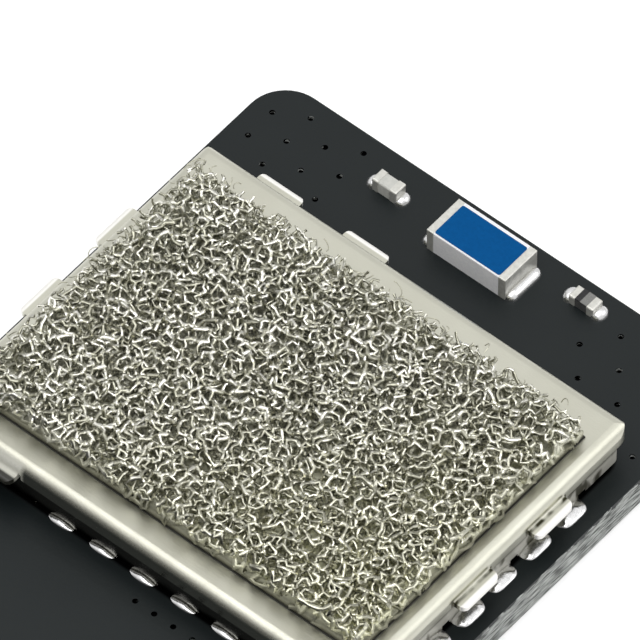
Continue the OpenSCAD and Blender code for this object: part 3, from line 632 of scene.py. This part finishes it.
def melted(node, rounds, fill, sink, tapers=None):
    """Smooth copy of a node, in its place; tapers are for joints at the can's ends and sides."""
    mesh = frame["nodes"][node].data.copy()
    skin = bmesh.new()
    skin.from_mesh(mesh)
    bmesh.ops.remove_doubles(skin, verts=skin.verts, dist=SAME_POINT)
    skin.to_mesh(mesh)
    skin.free()
    mesh.transform(Matrix.Scale(1 / MM, 4))
    joint = bpy.data.objects.new("melted_" + node, mesh)
    bpy.context.scene.collection.objects.link(joint)
    voxels = joint.modifiers.new("voxels", "REMESH")
    voxels.mode = "VOXEL"
    voxels.voxel_size = SOLDER_VOXEL
    evaluated = joint.evaluated_get(bpy.context.evaluated_depsgraph_get())
    rounded = bpy.data.meshes.new_from_object(evaluated)
    joint.modifiers.clear()
    skin = bmesh.new()
    skin.from_mesh(rounded)
    if tapers:
        chance = random.Random(SOLDER_SEED)
        for group in islands(skin):
            at_end = abs(group[0].co.y - can_middle.y) > can_half.y - END_MARGIN
            blunt, share = tapers[at_end]
            taper(group, blunt, share * chance.uniform(*JOINT_SHARE))
    for _ in range(rounds):
        bmesh.ops.smooth_vert(skin, verts=skin.verts, factor=SMOOTHING,
                              use_axis_x=True, use_axis_y=True, use_axis_z=True)
    skin.normal_update()
    for vert, normal in [(vert, vert.normal.copy()) for vert in skin.verts]:
        vert.co += normal * fill
        vert.co.z -= sink
    for face in skin.faces:
        face.smooth = True
    skin.to_mesh(rounded)
    skin.free()
    joint.data = rounded
    rounded.transform(Matrix.Scale(MM, 4))
    rounded.materials.clear()
    rounded.materials.append(FINISHES["solder"])
    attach(joint, "root")
    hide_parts(node)
    print(joint.name, "triangles:", triangles(joint))


melted("shield_solder", rounds=8, fill=0.02, sink=0.05, tapers=SHIELD_TAPERS)
for node, fill in (("antenna_solder", 0.03), ("capacitor_solder", 0.09), ("resistor_solder", 0.12)):
    melted(node, rounds=6, fill=fill, sink=0.1)

# %% [markdown]
# ## Metal foam
#
# The pad is nickel foam: a net of thin struts that were once the edges of bubbles. Most windows of
# a foam have five sides. The tightest known packing of equal bubbles has five- and six-sided
# windows only, and repeats in a cube of eight bubbles with 46 corners, so one cube's edges follow
# from a short rule. Drawing the struts one by one would never end.

# %% Edges of eight bubbles
CORNER_DIAGONAL = 0.1837
CORNER_LONG = 0.3082
CORNER_SHORT = 0.1173
LONGEST_EDGE = 0.28


def bubble_edges():
    """Wire mesh of one cube of the packing, of side 1: every corner is joined to its four nearest."""
    signs = (1, -1)
    corners = [tuple(s * CORNER_DIAGONAL for s in turn) for turn in product(signs, repeat=3)]
    for k in range(3):
        flat = [(0, s * CORNER_LONG, t * CORNER_SHORT) for s, t in product(signs, repeat=2)]
        corners += [p[k:] + p[:k] for p in flat]
    corners += [tuple(c + 0.5 for c in reversed(p)) for p in corners]
    for k in range(3):
        corners += [p[k:] + p[:k] for p in ((0.25, 0, 0.5), (0.75, 0, 0.5))]
    corners = [Vector(c % 1 for c in p) for p in corners]
    ends = []
    for i, a in enumerate(corners):
        for b, shift in product(corners[i + 1:], product((-1, 0, 1), repeat=3)):
            other = b + Vector(shift)
            if (other - a).length < LONGEST_EDGE:
                ends += [a, other]
    mesh = bpy.data.meshes.new("bubble_edges")
    mesh.from_pydata(ends, [(i, i + 1) for i in range(0, len(ends), 2)], [])
    print("eight bubbles have", len(corners), "corners and", len(mesh.edges), "edges")
    return mesh


# %% [markdown]
# ## Finish of the foam
#
# The upper struts are bright nickel, with darker ones among them, partly tarnish and partly painted
# shade for faces turned from the light: each strut carries a random number that the tree below
# stores on it, and a fine noise breaks the darkness into patches. Deeper down the metal is duller,
# and its tint is raised as painted light that lifts the shade between the struts. The foot of the
# sides is painted darkest, as shade. The corner at the front right is warmer.

# %% Make the finish of the foam
FOAM_TINT, FOAM_ROUGHNESS = (0.7, 0.68, 0.6), 0.24
BRIGHT_WARM, BRIGHT_COOL = (0.8, 0.79, 0.61), (0.88, 0.87, 0.79)
LIFTED_DEEP_WARM, LIFTED_DEEP_COOL = (0.88, 0.875, 0.62), (0.74, 0.735, 0.62)
TARNISH_SHADE_TINT = (0.42, 0.415, 0.335)
TARNISH_SHADE_RANGE = (0.54, 0.64)
STRUT_DARK_SHARE = 0.22
FOOT_SHADE_TINT = (0.3, 0.296, 0.22)
SIDE_FROM, SIDE_TO = 0.35, 0.1
DEEP_METALLIC, DEEP_ROUGHER = 0.65, 0.3
GLOSS = (0.24, 0.38)
foam_low, foam_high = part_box("metal_foam")
foam_middle = (foam_low + foam_high) / (2 * MM)
foam_half = (foam_high - foam_low) / (2 * MM)
DEPTH_FADE = (foam_high.z / MM - 0.65, foam_high.z / MM - 0.15)
FOAM_FOOT_FADE = (foam_low.z / MM + 0.3, foam_low.z / MM + 0.55)

foam_finish, tree, shader, place = start_material("nickel_foam", FOAM_TINT, 1.0, FOAM_ROUGHNESS)
spot = parts(tree, place)
coolness = spread(tree, math_node(tree, "SUBTRACT", spot["Y"], spot["X"]), 0, 1,
                  (foam_low.y - foam_high.x) / MM, foam_middle.y - foam_middle.x)
# Painted shade and tarnish: a random number per strut and a noise darken some struts in patches.
dark_chance = add(tree, "ShaderNodeAttribute", attribute_name="dark_chance").outputs["Fac"]
patches = math_node(tree, "MULTIPLY_ADD", dark_chance, STRUT_DARK_SHARE, noise(tree, place, scale=4.6, detail=2))
tarnish_and_shade = spread(tree, patches, 0, 1, *TARNISH_SHADE_RANGE)
bright = blend(tree, tarnish_and_shade, blend(tree, coolness, BRIGHT_WARM, BRIGHT_COOL), TARNISH_SHADE_TINT)
# Painted light: deeper struts get their own raised tint, which lifts the shade between the struts.
depth = spread(tree, spot["Z"], 1, 0, *DEPTH_FADE)
outwards = parts(tree, vector_math(tree, "ABSOLUTE", vector_math(tree, "SUBTRACT", place, foam_middle)))
side = math_node(tree, "MAXIMUM", *(
    spread(tree, outwards[axis], 0, 1, reach - SIDE_FROM, reach - SIDE_TO)
    for axis, reach in (("X", foam_half.x), ("Y", foam_half.y))))
# Painted shade: the foot of the pad's sides is darkened.
foot = times(tree, side, spread(tree, spot["Z"], 1, 0, *FOAM_FOOT_FADE))
painted_depths = blend(tree, foot, blend(tree, coolness, LIFTED_DEEP_WARM, LIFTED_DEEP_COOL), FOOT_SHADE_TINT)
tree.links.new(blend(tree, depth, bright, painted_depths), shader.inputs["Base Color"])
tree.links.new(spread(tree, depth, 1.0, DEEP_METALLIC, 0, 1), shader.inputs["Metallic"])
gloss = spread(tree, noise(tree, place, scale=6, detail=2), *GLOSS)
tree.links.new(math_node(tree, "MULTIPLY_ADD", depth, DEEP_ROUGHER, gloss), shader.inputs["Roughness"])
dent(tree, shader, noise(tree, place, scale=9, detail=2), depth=0.012)
print("foam finish:", foam_finish.name)

# %% [markdown]
# ## Tree of the foam
#
# Geometry Nodes do the rest by rule. They stack the cubes, join equal corners, turn and shake the
# net so that no rows show, cut it to the pad, and break a few struts. Then each strut becomes a thin
# tube, thicker where struts meet. The upper struts, which are in view, get a point in the middle and
# are bent there. The bend depends on the place alone, so struts that meet stay joined.

# %% Helpers for Geometry Nodes
RANDOM_SOCKETS = {"FLOAT": (2, 3, 1), "FLOAT_VECTOR": (0, 1, 0)}


def made(tree, kind, inputs=None, **settings):
    """What a Geometry Nodes node makes."""
    return add(tree, "GeometryNode" + kind, inputs, **settings).outputs[0]


def by_chance(tree, low, high, seed, data_type="FLOAT"):
    """Random value between two bounds."""
    low_socket, high_socket, value = RANDOM_SOCKETS[data_type]
    inputs = {low_socket: low, high_socket: high, "Seed": seed}
    return add(tree, "FunctionNodeRandomValue", inputs, data_type=data_type).outputs[value]


def start_tree(name, inputs):
    """New Geometry Nodes tree with named inputs; returns it with the input and output nodes."""
    tree = bpy.data.node_groups.new(name, "GeometryNodeTree")
    tree.interface.new_socket("Geometry", in_out="INPUT", socket_type="NodeSocketGeometry")
    for label, kind in inputs:
        tree.interface.new_socket(label, in_out="INPUT", socket_type="NodeSocket" + kind)
    tree.interface.new_socket("Geometry", in_out="OUTPUT", socket_type="NodeSocketGeometry")
    return tree, tree.nodes.new("NodeGroupInput").outputs, tree.nodes.new("NodeGroupOutput").inputs


def end_tree(tree, geometry, material, result):
    """End of a tree: a plain, smooth mesh with its finish."""
    plain = made(tree, "RealizeInstances", {0: geometry})
    smooth = made(tree, "SetShadeSmooth", {"Geometry": plain})
    coated = made(tree, "SetMaterial", {"Geometry": smooth, "Material": material})
    tree.links.new(coated, result[0])


def grow(name, mesh, tree, values):
    """Run a tree on a mesh with the given inputs and keep the result as a plain mesh object."""
    carrier = bpy.data.objects.new(name, mesh)
    bpy.context.scene.collection.objects.link(carrier)
    modifier = carrier.modifiers.new(tree.name, "NODES")
    modifier.node_group = tree
    for item in tree.interface.items_tree:
        if item.in_out == "INPUT" and item.name in values:
            modifier[item.identifier] = values[item.name]
    evaluated = carrier.evaluated_get(bpy.context.evaluated_depsgraph_get())
    grown = bpy.data.meshes.new_from_object(evaluated)
    carrier.modifiers.remove(modifier)
    carrier.data = grown
    grown.name = name
    return carrier


# %% Stack the cubes
SAME_CORNER = 0.05

foam_tree, given, result = start_tree("foam_net", [
    ("Cell Size", "Float"), ("Columns", "Int"), ("Rows", "Int"), ("Layers", "Int"), ("Turn", "Rotation"),
    ("Pad Middle", "Vector"), ("Pad Half Size", "Vector"), ("Shake", "Float"), ("Fray", "Float"),
    ("Slack", "Float"), ("Strut Radius", "Float"), ("Joint Radius", "Float"), ("Base Height", "Float"),
    ("Base Inset", "Float"), ("Rim", "Float"), ("Broken", "Float"), ("Bent Share", "Float"),
    ("Bend", "Float"), ("Seed", "Int")])
tree = foam_tree
cell = given["Cell Size"]


def span(count):
    """Length of a row of cells."""
    return times(tree, math_node(tree, "SUBTRACT", given[count], 1), cell)


layer = made(tree, "MeshGrid", {"Size X": span("Columns"), "Size Y": span("Rows"),
                                "Vertices X": given["Columns"], "Vertices Y": given["Rows"]})
stack = made(tree, "MeshLine", {"Count": given["Layers"], "Offset": joined(tree, z=cell)})
layers = made(tree, "InstanceOnPoints", {"Points": stack, "Instance": layer})
centres = made(tree, "RealizeInstances", {0: layers})
cells = made(tree, "InstanceOnPoints", {"Points": centres, "Instance": given["Geometry"],
                                        "Scale": joined(tree, cell, cell, cell)})
wires = made(tree, "RealizeInstances", {0: cells})
net = made(tree, "MergeByDistance", {"Geometry": wires, "Distance": times(tree, cell, SAME_CORNER)})
lowered = made(tree, "Transform", {
    "Geometry": net, "Translation": joined(tree, z=times(tree, span("Layers"), -0.5))})
turned = made(tree, "Transform", {"Geometry": lowered, "Rotation": given["Turn"]})
print("nodes that stack the cubes:", len(tree.nodes))

# %% Shake the net
SHAKES_PER_CELL, SHAKE_DETAIL = 1.7, 1.5


def random_push(per_cell, detail, strength):
    """Shift of a point by a random pattern, the same for equal places."""
    pattern = add(tree, "ShaderNodeTexNoise", {
        "Vector": here, "W": given["Seed"], "Scale": math_node(tree, "DIVIDE", per_cell, cell),
        "Detail": detail}, noise_dimensions="4D").outputs["Color"]
    centred = vector_math(tree, "SUBTRACT", pattern, (0.5, 0.5, 0.5))
    return vector_math(tree, "SCALE", centred, Scale=strength)


here = made(tree, "InputPosition")
shaken = made(tree, "SetPosition", {
    "Geometry": turned, "Offset": random_push(SHAKES_PER_CELL, SHAKE_DETAIL, given["Shake"])})
print("nodes that also shake the net:", len(tree.nodes))

# %% Cut the net to the pad
TORN_EDGE = 0.6 * MM
LOOSE_END = 1.5

half = parts(tree, given["Pad Half Size"])
at = parts(tree, here)
frayed_room = math_node(tree, "MINIMUM", math_node(tree, "ADD", half["X"], at["X"]),
                        math_node(tree, "SUBTRACT", half["Y"], at["Y"]))
crisp_room = math_node(tree, "MINIMUM", math_node(tree, "SUBTRACT", half["X"], at["X"]),
                       math_node(tree, "ADD", half["Y"], at["Y"]))
top_room = math_node(tree, "SUBTRACT", half["Z"], at["Z"])
over_base = math_node(tree, "GREATER_THAN", math_node(tree, "MINIMUM", frayed_room, crisp_room), given["Rim"])
bottom_room = math_node(tree, "SUBTRACT", math_node(tree, "ADD", half["Z"], at["Z"]),
                        times(tree, over_base, given["Base Height"]))
torn = by_chance(tree, 0.0, given["Fray"], given["Seed"])
square_room = math_node(tree, "ADD", math_node(tree, "MINIMUM", crisp_room, top_room), given["Slack"])
worst_room = math_node(tree, "MINIMUM", math_node(tree, "SUBTRACT", frayed_room, torn), square_room)
worst_room = math_node(tree, "MINIMUM", worst_room, math_node(tree, "SUBTRACT", bottom_room, given["Slack"]))
broken = add(tree, "FunctionNodeRandomValue", {6: given["Broken"], "Seed": given["Seed"]},
             data_type="BOOLEAN").outputs[3]
cut_net = shaken
for unwanted in (broken, math_node(tree, "LESS_THAN", worst_room, 0.0)):
    cut_net = made(tree, "DeleteGeometry", {"Geometry": cut_net, "Selection": unwanted}, domain="EDGE")
neighbours = add(tree, "GeometryNodeInputMeshVertexNeighbors").outputs["Vertex Count"]
loose = times(tree, math_node(tree, "LESS_THAN", neighbours, LOOSE_END),
              math_node(tree, "GREATER_THAN", frayed_room, TORN_EDGE))
for _ in range(2):
    cut_net = made(tree, "DeleteGeometry", {"Geometry": cut_net, "Selection": loose})
lowest = vector_math(tree, "MULTIPLY", given["Pad Half Size"], (-1, -1, -1))
kept = vector_math(tree, "MINIMUM", vector_math(tree, "MAXIMUM", here, lowest), given["Pad Half Size"])
pressed = made(tree, "SetPosition", {"Geometry": cut_net, "Position": kept})
print("nodes that also cut it:", len(tree.nodes))

# %% Grow the struts
BENDS_PER_CELL = 3.6
BENT_POINTS = 3
TORN_THINNER = 0.55

straight = made(tree, "MeshToCurve", {"Mesh": pressed})
in_view = math_node(tree, "GREATER_THAN", at["Z"], times(tree, half["Z"], given["Bent Share"]))
halved = made(tree, "ResampleCurve", {"Curve": straight, "Selection": in_view, "Count": BENT_POINTS})
struts = made(tree, "SetPosition", {
    "Geometry": halved, "Offset": random_push(BENDS_PER_CELL, 0.0, given["Bend"])})
along = add(tree, "GeometryNodeSplineParameter").outputs["Factor"]
from_middle = math_node(tree, "ABSOLUTE", math_node(tree, "MULTIPLY_ADD", along, 2.0, -1.0))
thick = spread(tree, math_node(tree, "POWER", from_middle, 2.0),
               given["Strut Radius"], given["Joint Radius"], 0, 1)
thin_rim = spread(tree, frayed_room, TORN_THINNER, 1.0, 0.0, TORN_EDGE)
profile = made(tree, "CurvePrimitiveCircle", {"Resolution": 3, "Radius": 1.0})
dark_marked = made(tree, "StoreNamedAttribute", {
    "Geometry": struts, "Name": "dark_chance", "Value": by_chance(tree, 0.0, 1.0, given["Seed"])},
    data_type="FLOAT", domain="CURVE")
tubes = made(tree, "CurveToMesh", {"Curve": dark_marked, "Profile Curve": profile,
                                   "Scale": times(tree, thick, thin_rim), "Fill Caps": True})
full = parts(tree, vector_math(tree, "SCALE", given["Pad Half Size"], Scale=2.0))
base_size = joined(tree, *(math_node(tree, "MULTIPLY_ADD", given["Base Inset"], -2.0, full[axis])
                           for axis in "XY"), given["Base Height"])
base_z = times(tree, math_node(tree, "SUBTRACT", given["Base Height"], full["Z"]), 0.5)
base = made(tree, "Transform", {"Geometry": made(tree, "MeshCube", {"Size": base_size}),
                                "Translation": joined(tree, z=base_z)})
whole = add(tree, "GeometryNodeJoinGeometry", {0: tubes})
tree.links.new(base, whole.inputs[0])
placed = made(tree, "Transform", {"Geometry": whole.outputs[0], "Translation": given["Pad Middle"]})
end_tree(tree, placed, foam_finish, result)
print("nodes of the whole foam tree:", len(tree.nodes))

# %% Grow the foam pad
CELL = 0.84 * MM
foam_size = foam_high - foam_low
foam_net = grow("foam_net", bubble_edges(), foam_tree, {
    "Cell Size": CELL, "Columns": 26, "Rows": 26, "Layers": 9, "Turn": (0.31, 0.23, 0.5),
    "Pad Middle": (foam_low + foam_high) / 2, "Pad Half Size": foam_size / 2,
    "Shake": 0.46 * MM, "Fray": 0.15 * MM, "Slack": 0.08 * MM, "Base Height": 0.25 * MM,
    "Base Inset": 0.05 * MM, "Rim": 0.2 * MM, "Broken": 0.1, "Bent Share": 0.1, "Bend": 0.35 * MM,
    "Strut Radius": 0.066 * MM, "Joint Radius": 0.099 * MM, "Seed": 5})
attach(foam_net, "root")
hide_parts("metal_foam")
print("foam net triangles:", triangles(foam_net))

# %% [markdown]
# ## Hairs of the foam
#
# Along the back and left edges the foam was torn off, and hair-thin strands and loops stand out
# over the lid. They could be curves drawn by hand. A tree is quicker and even: it strews points
# along an edge, puts a short arc on each, turned and sized by chance, and gives it a thickness.
# The hairs are darker than the net, so they have a finish of their own.

# %% Tree that grows the hairs
ARC_POINTS, ARC_SWEEP = 7, 2.6
HAIR_SIDES = 5
HAIR_TILT = 0.9

hair_tree, given, result = start_tree("foam_hairs", [
    ("Edge Start", "Vector"), ("Edge End", "Vector"), ("Count", "Int"), ("Spread Low", "Vector"),
    ("Spread High", "Vector"), ("Shortest", "Float"), ("Longest", "Float"), ("Radius", "Float"),
    ("Seed", "Int"), ("Material", "Material")])
tree = hair_tree
seeds = [math_node(tree, "ADD", given["Seed"], offset) for offset in (1, 2, 3, 4)]
edge = made(tree, "CurvePrimitiveLine", {"Start": given["Edge Start"], "End": given["Edge End"]})
roots = made(tree, "CurveToPoints", {"Curve": edge, "Count": given["Count"]})
strewn = made(tree, "SetPosition", {"Geometry": roots, "Offset": by_chance(
    tree, given["Spread Low"], given["Spread High"], seeds[0], "FLOAT_VECTOR")})
arc = made(tree, "CurveArc", {"Resolution": ARC_POINTS, "Radius": 1.0, "Sweep Angle": ARC_SWEEP})
turn = by_chance(tree, (-HAIR_TILT, -HAIR_TILT, 0.0), (HAIR_TILT, HAIR_TILT, 2 * math.pi),
                 seeds[1], "FLOAT_VECTOR")
length, width = (by_chance(tree, given["Shortest"], given["Longest"], seed) for seed in seeds[2:])
arcs = made(tree, "InstanceOnPoints", {"Points": strewn, "Instance": arc, "Rotation": turn,
                                       "Scale": joined(tree, length, width, length)})
loose_hairs = made(tree, "RealizeInstances", {0: arcs})
section = made(tree, "CurvePrimitiveCircle", {"Resolution": HAIR_SIDES, "Radius": given["Radius"]})
tubes = made(tree, "CurveToMesh", {"Curve": loose_hairs, "Profile Curve": section, "Fill Caps": True})
end_tree(tree, tubes, given["Material"], result)
print("nodes of the hair tree:", len(tree.nodes))

# %% Grow the hairs along two edges
HAIR_Z = foam_low.z + 0.5 * foam_size.z
OUT, IN, DOWN, UP = 0.16 * MM, 0.14 * MM, 0.3 * MM, 0.35 * MM
RIGHT_GAP, FRONT_GAP = 0.8 * MM, 1.0 * MM
back_end = Vector((foam_high.x - RIGHT_GAP, foam_high.y, HAIR_Z))
left_end = Vector((foam_low.x, foam_low.y + FRONT_GAP, HAIR_Z))
hair_finish = speckled("foam_hair", (0.62, 0.61, 0.5), (0.3, 0.295, 0.23), 1, 0.28, 3, 0.004)
for name, far_end, count, seed, low, high in (
        ("back_hairs", back_end, 44, 11, (-IN, -IN, -DOWN), (IN, OUT, UP)),
        ("left_hairs", left_end, 34, 23, (-OUT, -IN, -DOWN), (IN, IN, UP))):
    hairs = grow(name, bpy.data.meshes.new(name), hair_tree, {
        "Edge Start": Vector((foam_low.x, foam_high.y, HAIR_Z)), "Edge End": far_end, "Count": count,
        "Spread Low": low, "Spread High": high, "Material": hair_finish,
        "Shortest": 0.11 * MM, "Longest": 0.3 * MM, "Radius": 0.017 * MM, "Seed": seed})
    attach(hairs, "root")
    print(name, "triangles:", triangles(hairs))
